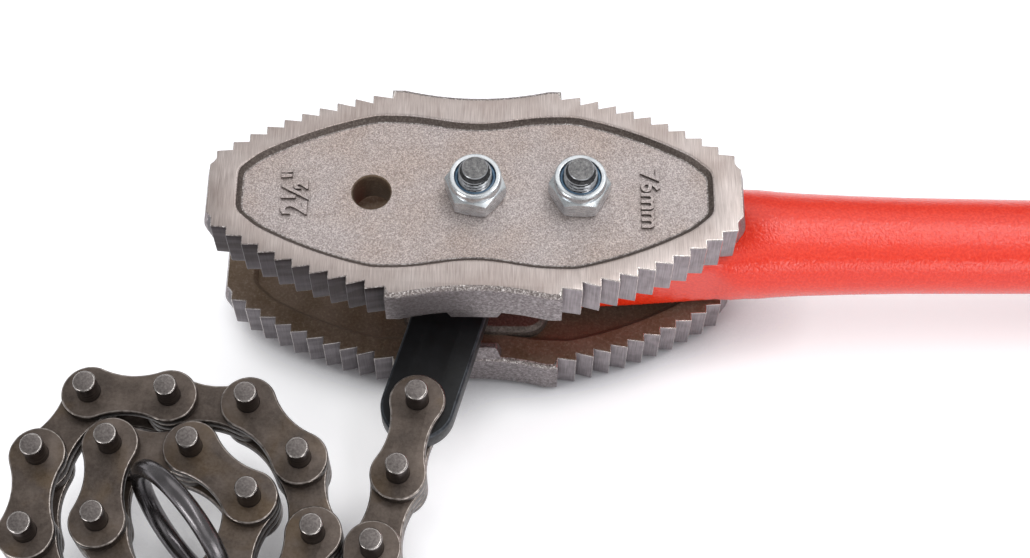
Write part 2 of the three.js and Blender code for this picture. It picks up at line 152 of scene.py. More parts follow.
# Shackle and chain
SHACKLE_HALF_WIDTH = 9
SHACKLE_HOLE_RADIUS = 4.45
SHACKLE_HALF_THICKNESS = 3.05
SHACKLE_EDGE = 0.7
PITCH = 19.05
PLATE_END_RADIUS = 6.7
PLATE_WAIST = 4.75
OUTER_PLATE = 2.5
INNER_PLATE = 2.9
PLATE_GAP = 0.3
PLATE_EDGE = 0.42
PIN_RADIUS = 2.7
PIN_HALF_LENGTH = 12.2
PIN_EDGE = 0.42
PLATE_HOLE_RADIUS = 3.1
PIN_SEAT_RADIUS = 2.74
PIN_SEAT_LIP = 0.06  # the bevel at the mouth of a hole with a riveted pin
HOLE_LIP = 0.2  # the same for every other hole
RING_HOLE_RADIUS = 4.3
LINKS = 22

# Ring
RING_RADIUS = 16
RING_WIRE_RADIUS = 2.25
RING_HEADING = 132
RING_LEAN = 8.5
RING_RISE = 4

# Camera, fitted to the photograph: place in mm, angles in degrees
CAMERA_PLACE = (7.2, -220.4, 431.9)
CAMERA_PITCH = 62.43
CAMERA_YAW = 0.72
CAMERA_ROLL = 1.19
CAMERA_LENS = 63.4

# Light
WORLD_DIFFUSE = 0.6
WORLD_REFLECTED = 0.42

# Each lamp's name, place, aim and size, in metres, and its watts
LAMPS = [
    ("overhead", (0.22, 0.72, 0.95), (0, 0.1, 0), (1.6, 0.95), 3.8),
    ("right_front", (0.55, -0.8, 0.22), (0.03, 0, 0.03), (0.6, 0.25), 1.8),
    ("left_front", (-0.55, -0.5, 0.26), (-0.05, -0.03, 0.02), (0.3, 0.2), 1.3),
    ("camera_side", (0.3, -0.7, 0.8), (0.05, -0.02, 0.03), (0.8, 0.5), 0.8),
    ("strip", (0.42, 0.02, 1.1), (0.14, 0, 0.03), (1.0, 0.16), 2.8),
]

# Floor: a slope close under the bolt heads, the chain's pins and the handle's end
FLOOR_GREY = 0.64
FLOOR_BLUENESS = 1.06
FLOOR_GLOW = 0.62
FLOOR_SHADE_REACH = 25
FLOOR_SHADE = (0.4, 0.75)  # how open the floor is where its glow starts and where it is whole
FLOOR_RISE_X = 0.031
FLOOR_RISE_Y = -0.165
FLOOR_FOLD_Y = -108  # beyond this, towards the camera, it rises no more
FLOOR_REACH = 3000


class Shell:
    """A closed mesh built from rings of points."""

    def __init__(self):
        self.points, self.faces, self.finishes = [], [], []

    def ring(self, outline, z=0.0):
        start = len(self.points)
        self.points += [(p[0], p[1], p[2] if len(p) > 2 else z) for p in outline]
        return list(range(start, len(self.points)))

    def band(self, low, high, finish=0):
        count = len(low)
        for i in range(count):
            j = (i + 1) % count
            self.faces.append((low[i], low[j], high[j], high[i]))
            self.finishes.append(finish)

    def bands(self, rings, finish=0):
        for low, high in zip(rings, rings[1:]):
            self.band(low, high, finish)

    def cap(self, ring, holes=(), up=True, finish=0):
        loops = [ring, *holes]
        order = [i for loop in loops for i in loop]
        flat = [[Vector(self.points[i]) for i in loop] for loop in loops]
        for triangle in tessellate_polygon(flat):
            a, b, c = (order[i] for i in triangle)
            pa, pb, pc = (Vector(self.points[i]) for i in (a, b, c))
            faces_up = (pb - pa).cross(pc - pa).z > 0
            self.faces.append((a, b, c) if faces_up == up else (a, c, b))
            self.finishes.append(finish)


def evenly(start, end, steps):
    """Even values from start to end, both among them."""
    return [start + (end - start) * i / steps for i in range(steps + 1)]


def turns_of(sides):
    """The angles of a ring's points."""
    return [2 * math.pi * i / sides for i in range(sides)]


def circle(radius, sides, x=0.0):
    return [(x + radius * math.cos(t), radius * math.sin(t)) for t in turns_of(sides)]


def inset(outline, distance, sharpest=0.3):
    """The outline moved inwards by one distance, or by one for each point, with its corners kept."""
    moved = []
    count = len(outline)
    reach = distance if isinstance(distance, list) else [distance] * count
    for i in range(count):
        before, here, after = (Vector(outline[(i + k) % count]) for k in (-1, 0, 1))
        into, out = (here - before).normalized(), (after - here).normalized()
        a, b = Vector((-into.y, into.x)), Vector((-out.y, out.x))
        moved.append(tuple(here + (a + b) * (reach[i] / max(sharpest, 1 + a.dot(b)))))
    return moved


def softened(outline, reach, step=0.7):
    """The outline in even steps, its corners rounded by an average over the reach to each side."""
    corners = [Vector(p) for p in outline]
    sides = [(corners[(i + 1) % len(corners)] - p).length for i, p in enumerate(corners)]
    count = round(sum(sides) / step)
    even = []
    i, walked = 0, 0.0
    for k in range(count):
        target = sum(sides) * k / count
        while walked + sides[i] < target:
            walked += sides[i]
            i += 1
        even.append(corners[i].lerp(corners[(i + 1) % len(corners)], (target - walked) / sides[i]))
    window = round(reach / step)
    spread = range(-window, window + 1)
    sums = [sum((even[(k + j) % count] for j in spread), Vector((0, 0))) for k in range(count)]
    return [tuple(total / len(spread)) for total in sums]


def mirrored_outline(quarter, same=1e-4):
    """Repeats a quarter outline, from the +X axis to the +Y axis, round all four quarters."""
    flips = [(1, 1, False), (-1, 1, True), (-1, -1, False), (1, -1, True)]
    whole = []
    for sx, sy, turned in flips:
        part = [(x * sx, y * sy) for x, y in quarter]
        whole += reversed(part) if turned else part
    return [p for i, p in enumerate(whole) if (Vector(p) - Vector(whole[i - 1])).length > same]


def arc(x, y, radius, start, end, steps):
    angles = [math.radians(a) for a in evenly(start, end, steps)]
    return [(x + radius * math.cos(a), y + radius * math.sin(a)) for a in angles]


def rounded_rectangle(half_length, half_width, corner, steps=8):
    return mirrored_outline(arc(half_length - corner, half_width - corner, corner, 0, 90, steps))


def rounded_edge(radius, steps=3):
    """Insets and heights below the top, from the side of a rounded edge up to its flat face."""
    angles = evenly(0, math.pi / 2, steps)
    return [(radius * (1 - math.cos(a)), radius * (1 - math.sin(a))) for a in angles]


def new_object(name, data):
    """An object in the scene that holds this data."""
    holder = bpy.data.objects.new(name, data)
    bpy.context.scene.collection.objects.link(holder)
    return holder


def evaluated_mesh(holder):
    """The object's mesh with its modifiers applied, or a text's as a mesh."""
    return bpy.data.meshes.new_from_object(holder.evaluated_get(bpy.context.evaluated_depsgraph_get()))


def mesh_of(name, shell, materials, place):
    """The shell as a mesh in the CAD frame, in metres."""
    mesh = bpy.data.meshes.new(name)
    mesh.from_pydata([(place @ Vector(p)) * MM for p in shell.points], [], shell.faces)
    for material in materials:
        mesh.materials.append(material)
    mesh.polygons.foreach_set("material_index", shell.finishes)
    return mesh


def carve(mesh, steps, place):
    """The mesh after each step in turn: a solid taken away or added."""
    block = new_object("block", mesh)
    tools = []
    for operation, shell in steps:
        tool = new_object("tool", mesh_of("tool", shell, mesh.materials, place))
        tools.append(tool)
        step = block.modifiers.new("step", "BOOLEAN")
        step.operation = operation
        step.solver = "EXACT"
        step.object = tool
    carved = evaluated_mesh(block)
    for spent in (block, *tools):
        bpy.data.objects.remove(spent)
    return carved


def stack(layers, finish=0):
    """A closed solid through outlines at rising heights."""
    solid = Shell()
    rings = [solid.ring(outline, z) for outline, z in layers]
    solid.cap(rings[0], up=False, finish=finish)
    solid.bands(rings, finish)
    solid.cap(rings[-1], finish=finish)
    return solid


def put(name, mesh, body, nodes, slot, smooth):
    """Puts the mesh in place of its CAD nodes, its corners sharp above the smooth angle, in degrees."""
    mesh.polygons.foreach_set("use_smooth", [True] * len(mesh.polygons))
    mesh.set_sharp_from_angle(angle=math.radians(smooth))
    piece = new_object(name, mesh)
    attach(piece, body)
    if nodes:
        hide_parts(*nodes)


def make(name, shell, materials, body, nodes, slot, place, smooth=32):
    put(name, mesh_of(name, shell, materials, place), body, nodes, slot, smooth)


# Materials


class Finish:
    """A node material with short calls for the nodes that it needs."""

    def __init__(self, name, **values):
        self.material = bpy.data.materials.new(name)
        self.material.use_nodes = True
        self.tree = self.material.node_tree
        self.shader = self.tree.nodes["Principled BSDF"]
        self.place = self.node("TexCoord").outputs["Object"]
        for socket, value in values.items():
            self.shader.inputs[socket.replace("_", " ")].default_value = value

    def node(self, kind):
        return self.tree.nodes.new(f"ShaderNode{kind}")

    def link(self, source, node, socket):
        self.tree.links.new(source, node.inputs[socket])

    def scaled(self, scale):
        mapping = self.node("Mapping")
        mapping.inputs["Scale"].default_value = scale
        self.link(self.place, mapping, "Vector")
        return mapping.outputs["Vector"]

    def noise(self, per_mm, detail=3, roughness=0.55, distortion=0.0):
        """Noise with so many features to the millimetre, in X, Y and Z or alike in all."""
        spread = per_mm if isinstance(per_mm, tuple) else (per_mm,) * 3
        node = self.node("TexNoise")
        self.link(self.scaled(tuple(s / MM for s in spread)), node, "Vector")
        node.inputs["Scale"].default_value = 1
        node.inputs["Detail"].default_value = detail
        node.inputs["Roughness"].default_value = roughness
        node.inputs["Distortion"].default_value = distortion
        return node.outputs["Fac"]

    def ramp(self, source, stops):
        """Colours, or plain numbers, at places along a value from 0 to 1."""
        node = self.node("ValToRGB")
        self.link(source, node, "Fac")
        elements = node.color_ramp.elements
        for place, _ in stops[2:]:
            elements.new(place)
        for element, (place, colour) in zip(elements, stops):
            element.position = place
            grey = isinstance(colour, (int, float))
            element.color = (colour,) * 3 + (1,) if grey else (*colour, 1)
        return node.outputs["Color"]

    def tones(self, source, *stops):
        """A ramp of colours, each stop its place, red, green and blue, with the colour as srgb() takes it."""
        return self.ramp(source, [(place, srgb(*colour)) for place, *colour in stops])

    def mix(self, factor, a, b, blend="MIX"):
        """Two colours mixed: this node takes them at its sockets 6 and 7, and gives the result at 2."""
        node = self.node("Mix")
        node.data_type = "RGBA"
        node.blend_type = blend
        for socket, value in ((0, factor), (6, a), (7, b)):
            if isinstance(value, bpy.types.NodeSocket):
                self.link(value, node, socket)
            elif socket:
                node.inputs[socket].default_value = (*value, 1)
            else:
                node.inputs[socket].default_value = value
        return node.outputs[2]

    def bump(self, height, depth_mm, strength=1.0, below=None):
        node = self.node("Bump")
        node.inputs["Strength"].default_value = strength
        node.inputs["Distance"].default_value = depth_mm * MM
        self.link(height, node, "Height")
        if below is not None:
            self.link(below, node, "Normal")
        return node.outputs["Normal"]

    def done(self, colour=None, roughness=None, normal=None):
        for source, socket in ((colour, "Base Color"), (roughness, "Roughness"), (normal, "Normal")):
            if source is not None:
                self.link(source, self.shader, socket)
        return self.material


def srgb(r, g, b):
    """A colour as the eye reads it, from 0 to 255, in linear light."""
    return tuple((c / 255 / 12.92) if c < 11 else ((c / 255 + 0.055) / 1.055) ** 2.4 for c in (r, g, b))


def one_noise(name, noise, tones, bump, rough=None, **values):
    """A finish whose colour, bump and roughness all follow one noise.

    The noise is given as noise() takes it, and the bump as its depth in millimetres and its strength.
    """
    f = Finish(name, **values)
    grain = f.noise(*noise)
    return f.done(f.tones(grain, *tones), rough and f.ramp(grain, rough), f.bump(grain, *bump))


def brushed_steel():
    """Machined rims, with fine lines across the tool."""
    f = Finish("brushed_rim", Metallic=0.9, Roughness=0.38)
    lines = f.noise((5.5, 0.16, 0.16), detail=4, roughness=0.65)
    clouds = f.noise(0.09, detail=2)
    tone = f.tones(lines, (0.3, 168, 157, 153), (0.55, 194, 183, 179), (0.75, 214, 205, 201))
    worn = f.tones(clouds, (0.35, 236, 232, 230), (0.65, 255, 255, 255))
    colour = f.mix(1.0, tone, worn, "MULTIPLY")
    rough = f.ramp(lines, [(0.3, 0.46), (0.7, 0.32)])
    return f.done(colour, rough, f.bump(lines, 0.03, 0.6))


def cast_steel():
    """Sand-cast floor of the recess: fine grain, faint brown clouds."""
    f = Finish("cast_floor", Metallic=0.75, Roughness=0.5)
    grain = f.noise(3.2, detail=4, roughness=0.7)
    pits = f.noise(0.8, detail=3, roughness=0.6)
    clouds = f.noise(0.045, detail=3)
    tone = f.tones(grain, (0.36, 150, 139, 136), (0.5, 188, 177, 175), (0.64, 232, 223, 221))
    warm = f.tones(clouds, (0.38, 249, 243, 237), (0.62, 255, 255, 255))
    colour = f.mix(1.0, tone, warm, "MULTIPLY")
    rough = f.ramp(pits, [(0.35, 0.42), (0.7, 0.62)])
    rolling = f.bump(pits, 0.14, 0.6)
    return f.done(colour, rough, f.bump(grain, 0.12, 1.0, rolling))


def painted_shade_cast():
    """Painted shade: a dark cast grey for the recess's wall, the figures' sides and the clamping boss."""
    tones = [(0.34, 72, 62, 58), (0.52, 92, 82, 77), (0.7, 118, 108, 102)]
    return one_noise("painted_shade_cast", (1.8, 4, 0.65), tones, (0.1, 0.7), Metallic=0.5, Roughness=0.5)


def tooth_steel():
    """Milled faces of the teeth: cool grey with faint upright marks."""
    f = Finish("tooth_faces", Metallic=0.9, Roughness=0.36)
    marks = f.noise((3.2, 3.2, 0.12), detail=3, roughness=0.6)
    clouds = f.noise(0.3, detail=2)
    tone = f.tones(marks, (0.3, 118, 110, 113), (0.7, 166, 158, 161))
    colour = f.mix(0.35, tone, f.tones(clouds, (0.35, 104, 96, 98), (0.65, 170, 162, 165)))
    rough = f.ramp(clouds, [(0.3, 0.3), (0.7, 0.44)])
    return f.done(colour, rough, f.bump(marks, 0.02, 0.5))


def painted_shade_teeth(name, low, high, light):
    """Teeth near the shackle, with painted shade that makes them darker than the milled steel: their steel
    from low to high, with light patches.
    """
    f = Finish(name, Metallic=0.75, Roughness=0.36)
    marks = f.noise((3.2, 3.2, 0.12), detail=3, roughness=0.6)
    clouds = f.noise((0.05, 0.3, 0.3), detail=2)
    tone = f.tones(marks, (0.3, *low), (0.7, *high))
    colour = f.mix(0.4, tone, f.tones(clouds, (0.4, *low), (0.6, *light)))
    return f.done(colour, None, f.bump(marks, 0.02, 0.5))


def worn_edge():
    """Bright burnished corners."""
    tones = [(0.3, 150, 142, 138), (0.7, 226, 220, 216)]
    return one_noise("worn_edges", (0.8, 3, 0.7), tones, (0.05, 0.5), Metallic=1.0, Roughness=0.25)


def painted_glint_edge():
    """Painted highlight: bright speckled cast grain on the lugs' rounded edges, the deep-shaded teeth's edges
    and the foot of the recess's wall, standing in for glints of light.
    """
    tones = [(0.36, 104, 96, 94), (0.52, 150, 141, 138), (0.64, 232, 226, 224)]
    rough = [(0.35, 0.5), (0.65, 0.24)]
    return one_noise("painted_glint_edges", (2.0, 5, 0.7), tones, (0.25, 0.9), rough, Metallic=0.9, Roughness=0.34)


def oxide_steel():
    """The jaws' inner faces: brown oxide over a sand-cast grain."""
    f = Finish("oxide_inner", Metallic=0.45, Roughness=0.55)
    grain = f.noise(1.5, detail=5, roughness=0.7)
    clouds = f.noise(0.12, detail=3)
    tone = f.tones(grain, (0.35, 70, 58, 49), (0.55, 110, 95, 83), (0.72, 160, 147, 136))
    colour = f.mix(0.5, tone, f.tones(clouds, (0.35, 110, 88, 64), (0.65, 134, 114, 98)))
    rough = f.ramp(grain, [(0.35, 0.4), (0.7, 0.65)])
    return f.done(colour, rough, f.bump(grain, 0.12, 0.8))


def rough_lug():
    """As-cast sides of the lugs, coarser, with bright specks."""
    tones = [(0.34, 108, 100, 101), (0.52, 138, 130, 131), (0.7, 176, 169, 170)]
    rough = [(0.35, 0.55), (0.65, 0.34)]
    return one_noise("lug_sides", (1.3, 5, 0.7), tones, (0.14, 0.8), rough, Metallic=0.8, Roughness=0.42)


def red_paint():
    """Glossy red enamel with an orange-peel surface."""
    f = Finish("red_enamel", Roughness=0.2, Specular_IOR_Level=0.6)
    peel = f.noise(1.5, detail=2, roughness=0.55)
    drips = f.noise((0.1, 0.35, 0.35), detail=2)
    clouds = f.noise(0.02, detail=2)
    shade = f.tones(clouds, (0.35, 230, 40, 10), (0.65, 238, 50, 16))
    # the peel's lighter specks in the colour are partly painted sparkle, standing in for highlights on the
    # orange peel, and partly the paint's own mottling
    colour = f.mix(0.4, shade, f.tones(peel, (0.38, 216, 30, 6), (0.66, 252, 70, 36)))
    rough = f.ramp(peel, [(0.35, 0.15), (0.7, 0.24)])
    waves = f.bump(drips, 0.05, 0.5)
    return f.done(colour, rough, f.bump(peel, 0.12, 1.0, waves))


def zinc_plate():
    """Bright zinc on the nuts, with cloudy tones and scuffs."""
    f = Finish("zinc_plate", Metallic=1.0, Roughness=0.26)
    clouds = f.noise(0.35, detail=4, roughness=0.65)
    scuffs = f.noise((0.5, 0.5, 2.5), detail=4, roughness=0.7)
    tone = f.tones(clouds, (0.3, 186, 191, 196), (0.55, 214, 218, 221), (0.75, 238, 240, 242))
    rough = f.ramp(scuffs, [(0.3, 0.18), (0.7, 0.4)])
    return f.done(tone, rough, f.bump(scuffs, 0.02, 0.5))


def stud_side():
    """The bolts' heads, shanks and thread crests: zinc, a little oily."""
    tones = [(0.3, 146, 148, 152), (0.7, 208, 210, 214)]
    return one_noise("stud_threads", (0.6, 3, 0.6), tones, (0.03, 0.4), Metallic=1.0, Roughness=0.3)


def thread_root():
    """Darker grey for the bottom of the threads."""
    tones = [(0.3, 38, 38, 40), (0.7, 74, 74, 76)]
    return one_noise("thread_roots", (1.5, 3), tones, (0.03, 0.4), Metallic=0.6, Roughness=0.5)


def stud_steel():
    """The bolts' sheared tips, darker than the nuts."""
    tones = [(0.32, 84, 84, 86), (0.55, 128, 127, 127), (0.75, 168, 167, 167)]
    rough = [(0.3, 0.3), (0.7, 0.5)]
    return one_noise("stud_tips", (1.4, 4, 0.7), tones, (0.05, 0.6), rough, Metallic=0.9, Roughness=0.4)


def blue_nylon():
    """The lock nuts' inserts."""
    tones = [(0.3, 62, 92, 122), (0.7, 98, 130, 156)]
    return one_noise("blue_nylon", (0.5, 2), tones, (0.05, 0.3), Roughness=0.35, Coat_Weight=0.3)


def black_steel():
    """The shackle's satin black, with faint rolling marks."""
    f = Finish("black_plate", Metallic=0.2, Roughness=0.42, Specular_IOR_Level=0.35)
    cloud = f.noise(0.25, detail=4, roughness=0.6)
    fine = f.noise(1.6, detail=3)
    tone = f.tones(cloud, (0.3, 12, 12, 14), (0.7, 22, 23, 26))
    rough = f.ramp(fine, [(0.3, 0.36), (0.7, 0.5)])
    return f.done(tone, rough, f.bump(fine, 0.03, 0.5))


def shackle_edge_highlight():
    """Painted highlight: a lighter grey along the shackle's rounded edge."""
    tones = [(0.3, 34, 36, 40), (0.7, 70, 74, 80)]
    return one_noise("shackle_edge_highlight", (0.5, 4, 0.65), tones, (0.03, 0.4), Metallic=0.6, Roughness=0.36)


def chain_steel():
    """Oiled plate: dark brown-grey, with ochre stains and fine scratches."""
    f = Finish("chain_plate", Metallic=0.7, Roughness=0.4)
    clouds = f.noise(0.11, detail=4, roughness=0.6)
    stains = f.noise(0.07, detail=3, roughness=0.5, distortion=0.6)
    fine = f.noise(1.3, detail=4, roughness=0.7)
    tone = f.tones(clouds, (0.3, 72, 63, 58), (0.5, 94, 83, 76), (0.72, 122, 110, 102))
    stained = f.ramp(stains, [(0.52, 0.0), (0.7, 0.6)])
    colour = f.mix(stained, tone, srgb(104, 84, 58))
    speckled = f.mix(0.22, colour, f.tones(fine, (0.35, 58, 50, 46), (0.7, 138, 128, 120)))
    rough = f.ramp(fine, [(0.3, 0.32), (0.7, 0.5)])
    return f.done(speckled, rough, f.bump(fine, 0.03, 0.5))


def chain_edge_highlight():
    """Rounded edges of the plates: rubbed bright by wear, and lighter still as a painted highlight."""
    tones = [(0.3, 104, 96, 91), (0.7, 184, 175, 169)]
    return one_noise("chain_edge_highlight", (0.7, 3, 0.6), tones, (0.03, 0.4), Metallic=0.95, Roughness=0.28)


def chain_side():
    """Punched sides of the plates."""
    tones, noise = [(0.3, 52, 45, 42), (0.7, 90, 82, 77)], ((1.2, 1.2, 0.5), 3, 0.6)
    return one_noise("chain_side", noise, tones, (0.03, 0.5), Metallic=0.85, Roughness=0.36)


def pin_rim_highlight():
    """The pins' rounded rims: rubbed bright by wear, and lighter still as a painted highlight."""
    tones = [(0.3, 130, 124, 121), (0.7, 196, 190, 187)]
    return one_noise("pin_rim_highlights", (1.1, 3, 0.6), tones, (0.02, 0.4), Metallic=1.0, Roughness=0.24)


def pin_top():
    """Sawn ends of the pins: grey with a fine grain."""
    tones = [(0.32, 96, 90, 88), (0.7, 142, 135, 132)]
    return one_noise("pin_tops", (1.8, 4, 0.7), tones, (0.04, 0.6), Metallic=0.85, Roughness=0.42)


def pin_side():
    """Turned sides of the pins: dark and smooth."""
    tones = [(0.3, 54, 48, 46), (0.7, 96, 88, 85)]
    return one_noise("pin_sides", ((0.2, 0.2, 3.5), 3), tones, (0.02, 0.5), Metallic=0.9, Roughness=0.3)


def ring_steel():
    """Drawn wire, dark and shiny."""
    tones, rough = [(0.3, 94, 91, 93), (0.7, 122, 119, 121)], [(0.3, 0.22), (0.7, 0.3)]
    return one_noise("ring_wire", (0.2, 3, 0.5), tones, (0.02, 0.3), rough, Metallic=0.95, Roughness=0.24)


RIM, CAST, PAINTED_SHADE, TOOTH, PAINTED_DEEP_SHADE, PAINTED_HALF_SHADE, OXIDE, LUG, EDGE, PAINTED_GLINT = range(10)
JAW_FINISHES = [
    brushed_steel(),
    cast_steel(),
    painted_shade_cast(),
    tooth_steel(),
    painted_shade_teeth("painted_deep_shade_teeth", (36, 26, 26), (66, 53, 54), (90, 84, 90)),
    painted_shade_teeth("painted_half_shade_teeth", (80, 74, 77), (120, 113, 116), (134, 128, 132)),
    oxide_steel(),
    rough_lug(),
    worn_edge(),
    painted_glint_edge(),
]
PLATE_FACE, PLATE_ROUNDING, PLATE_SIDE, PIN_TOP, PIN_RIM, PIN_SIDE = range(6)
CHAIN_FINISHES = [chain_steel(), chain_edge_highlight(), chain_side(), pin_top(), pin_rim_highlight(), pin_side()]


# Jaws

# The recess's wall from the rim down: inset from its outline, share of its depth, finish
RECESS_WALL = [
    (-0.7, 0, RIM),
    (-0.3, 0.03, CAST),
    # these rows of the wall have painted shade
    (-0.05, 0.13, PAINTED_SHADE),
    (0.25, 0.42, PAINTED_SHADE),
    (0.7, 0.76, PAINTED_SHADE),
    # this row is a painted highlight, a light line along the foot of the wall
    (1.1, 0.93, PAINTED_GLINT),
    (1.45, 0.98, CAST),
    (2, 1, CAST),
]


def on_tooth_arc(angle, depth=0.0):
    a = math.radians(angle)
    radius = TOOTH_ARC_RADIUS - depth
    return (TOOTH_ARC_X + radius * math.sin(a), TOOTH_ARC_Y + radius * math.cos(a))


def jaw_outline():
    """The outline's points, from the middle of the end to the middle of the lug."""
    quarter = [
        (JAW_HALF_LENGTH, JAW_END_HALF_WIDTH - JAW_END_BEVEL),
        (JAW_HALF_LENGTH - JAW_END_BEVEL, JAW_END_HALF_WIDTH),
    ]
    for angle in evenly(FIRST_TOOTH_ANGLE, LAST_TOOTH_ANGLE, TEETH - 1):
        x, y = on_tooth_arc(angle)
        quarter += [(x, y - TOOTH_DEPTH), (x, y - TIP_WEAR), (x - TIP_WEAR, y)]
    quarter += [(LUG_HALF_LENGTH, LUG_HALF_WIDTH - LUG_SIDE_HEIGHT), (LUG_HALF_LENGTH, LUG_HALF_WIDTH)]
    hollow_half = LUG_HALF_LENGTH - LUG_FLAT
    for share in evenly(1, 0, 14):
        quarter.append((hollow_half * share, LUG_HALF_WIDTH - LUG_HOLLOW * (1 - share * share)))
    return mirrored_outline(quarter)


def recess_outline():
    """The long waisted outline of the cast recess."""
    corner_x = RECESS_HALF_LENGTH - RECESS_CORNER
    corner = arc(corner_x, RECESS_CORNER_Y, RECESS_CORNER, 0, RECESS_CORNER_SWEEP, 5)
    quarter = [(RECESS_HALF_LENGTH, 0), *corner]
    for angle in evenly(RECESS_ARC_START, RECESS_ARC_END, 16):
        quarter.append(on_tooth_arc(angle, RIM_WIDTH))
    for share in evenly(0, 1, 12):
        half = RECESS_SHOULDER + (RECESS_WAIST - RECESS_SHOULDER) * (0.5 - 0.5 * math.cos(math.pi * share))
        quarter.append((RECESS_SHOULDER * RECESS_SHOULDER_REACH * (1 - share), half))
    return softened(mirrored_outline(quarter), RECESS_SOFTNESS)


def on_lug(x, y):
    return abs(x) < LUG_HALF_LENGTH + NEAR and abs(y) > LUG_HALF_WIDTH - ON_LUG_DEPTH


def side_finishes(outline):
    """The finish of each stretch of the jaw's side and of its edge: milled teeth, with painted shade on the
    left half, and cast lugs.
    """
    sides, edges = [], []
    for i, (x, y) in enumerate(outline):
        nx, ny = outline[(i + 1) % len(outline)]
        middle_x, middle_y = (x + nx) / 2, (y + ny) / 2
        cast = on_lug(middle_x, middle_y) and abs(middle_x) < LUG_HALF_LENGTH - NEAR
        at_end = abs(middle_x) > JAW_HALF_LENGTH - JAW_END_BEVEL
        worn = math.dist((x, y), (nx, ny)) < 2 * TIP_WEAR
        # teeth on the left half get painted shade: the deep one where y is below 0, the half one elsewhere
        milled = TOOTH if x > 0 else PAINTED_DEEP_SHADE if y < 0 else PAINTED_HALF_SHADE
        sides.append(LUG if cast or at_end else EDGE if worn and milled != PAINTED_DEEP_SHADE else milled)
        # the lugs' edges and the deep-shaded teeth's edges get the painted highlight
        edges.append(PAINTED_GLINT if cast or milled == PAINTED_DEEP_SHADE else EDGE)
    return sides, edges


def jaw_block():
    """One jaw with a plain inner face at height 0 and its machined rim at the top."""
    jaw = Shell()
    edge = jaw_outline()
    radii = [LUG_EDGE if on_lug(x, y) else JAW_EDGE for x, y in edge]
    top = JAW_THICKNESS
    side_finish, edge_finish = side_finishes(edge)

    def rounding(down, up):
        """Rings over the outline's edge, from its side to the face at the height up."""
        rings = []
        for inward, drop in rounded_edge(1):
            moved = inset(edge, [r * inward for r in radii])
            rings.append(jaw.ring([(x, y, up + down * r * drop) for (x, y), r in zip(moved, radii)]))
        return rings

    def lengthwise(rings, finish):
        start = len(jaw.finishes)
        jaw.bands(rings)
        jaw.finishes[start:] = finish * (len(rings) - 1)

    under, over = rounding(1, 0), rounding(-1, top)
    sides = [under[0]]
    for share in (0.12, 0.3, 0.5, 0.7, 0.88):
        reach = END_BULGE * math.sin(math.pi * share)
        bulged = [
            (x + math.copysign(reach, x), y) if abs(x) > JAW_HALF_LENGTH - END_STRIP else (x, y)
            for x, y in edge
        ]
        sides.append(jaw.ring(bulged, LUG_EDGE + (top - 2 * LUG_EDGE) * share))
    sides.append(over[0])
    lengthwise(sides, side_finish)
    lengthwise(under[::-1], edge_finish)
    lengthwise(over, edge_finish)
    jaw.cap(under[-1], up=False, finish=OXIDE)

    recess = recess_outline()
    steps = [jaw.ring(inset(recess, d), top - RECESS_DEPTH * share) for d, share, _ in RECESS_WALL]
    jaw.cap(over[-1], [steps[0]], finish=RIM)
    for low, high, (_, _, finish) in zip(steps, steps[1:], RECESS_WALL):
        jaw.band(low, high, finish)
    jaw.cap(steps[-1], finish=CAST)
    return jaw


def jaw_steps():
    """What is cast or drilled into the block: pocket, clamping boss, two hook blocks and bolt holes.

    The profiles give an inset from the outline and a height; those of the hook blocks give a half-length,
    two half-widths and a height.
    """
    recess = recess_outline()
    pocket = [(-0.3, -1), (-0.3, 0), (0.1, 0.25), (0.8, POCKET_DEPTH * 0.8), (1.6, POCKET_DEPTH)]
    boss = rounded_rectangle(BOSS_HALF_LENGTH, BOSS_HALF_WIDTH, BOSS_CORNER)
    pad = [
        (1.5, -BOSS_HEIGHT),
        (0.8, 0.4 - BOSS_HEIGHT),
        (0.3, 1 - BOSS_HEIGHT),
        (0, 1),
        (0, POCKET_DEPTH + 1),
    ]
    steps = [
        ("DIFFERENCE", stack([(inset(recess, d), z) for d, z in pocket], OXIDE)),
        # the clamping boss gets painted shade, darker than the lamps on its sides would make it
        ("UNION", stack([(inset(boss, d), z) for d, z in pad], PAINTED_SHADE)),
    ]
    half = HOOK_HALF_LENGTH
    block = [
        (half - 0.9, HOOK_INNER + 0.8, HOOK_OUTER - 1.1, -HOOK_HEIGHT),
        (half - 0.4, HOOK_INNER + 0.3, HOOK_OUTER - 0.6, 0.6 - HOOK_HEIGHT),
        (half + 0.6, HOOK_INNER, HOOK_OUTER, 0.1),
        (half + 0.6, HOOK_INNER, HOOK_OUTER, 2),
    ]
    for side in (1, -1):
        layers = []
        for x, inner, outer, z in block:
            corners = [(x, inner), (x, outer), (-x, outer), (-x, inner)]
            layers.append(([(cx * side, cy * side) for cx, cy in corners], z))
        steps.append(("UNION", stack(layers, LUG)))
    floor = JAW_THICKNESS - RECESS_DEPTH
    for i in (-1, 0, 1):
        hole = circle(BOLT_HOLE_RADIUS, ROUND_SIDES, i * HOLE_SPACING)
        mouth = circle(BOLT_HOLE_RADIUS + HOLE_CHAMFER, ROUND_SIDES, i * HOLE_SPACING)
        drill = [(hole, -THROUGH), (hole, floor - HOLE_CHAMFER), (mouth, floor), (mouth, THROUGH)]
        steps.append(("DIFFERENCE", stack(drill, OXIDE)))
    return steps


def make_jaws():
    up = Matrix.Translation((0, 0, MIDDLE + JAW_GAP / 2))
    down = Matrix.Translation((0, 0, MIDDLE - JAW_GAP / 2)) @ Matrix.Rotation(math.pi, 4, "X")
    block, steps = jaw_block(), jaw_steps()
    for node, place in (("jaw_upper", up), ("jaw_lower", down)):
        mesh = carve(mesh_of(f"{node}_form", block, JAW_FINISHES, place), steps, place)
        put(f"{node}_form", mesh, "head", [node], "jaw_steel", smooth=24)


